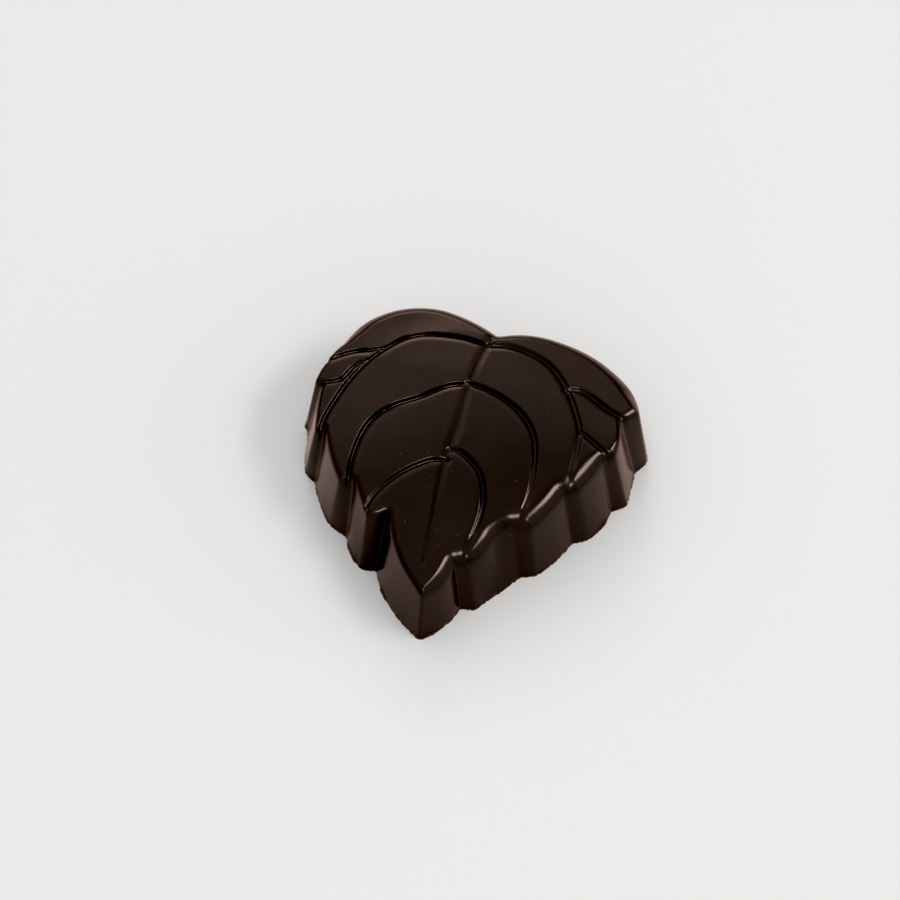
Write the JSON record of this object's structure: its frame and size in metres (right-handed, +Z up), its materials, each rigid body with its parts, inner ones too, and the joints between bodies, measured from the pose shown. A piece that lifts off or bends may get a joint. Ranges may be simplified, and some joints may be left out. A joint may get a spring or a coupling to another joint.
{
  "type": "leaf-shaped chocolate praline",
  "caption": "Moulded dark chocolate praline in the shape of a broad serrated leaf, with veins cut into its gently domed top and a flat base to rest on.",
  "frame": {"origin": "middle of the flat base, under the centre of the leaf's bounding box", "axes": "+Z up out of the base through the veined top, +Y from the leaf's tip towards its stalk end, +X towards the leaf's right side as seen from above"},
  "size_m": [0.036, 0.0358, 0.0101],
  "materials": {
    "chocolate": "smooth tempered dark chocolate with a soft gloss"
  },
  "bodies": {
    "root": {"chocolate_leaf": "chocolate"}
  },
  "joints": []
}
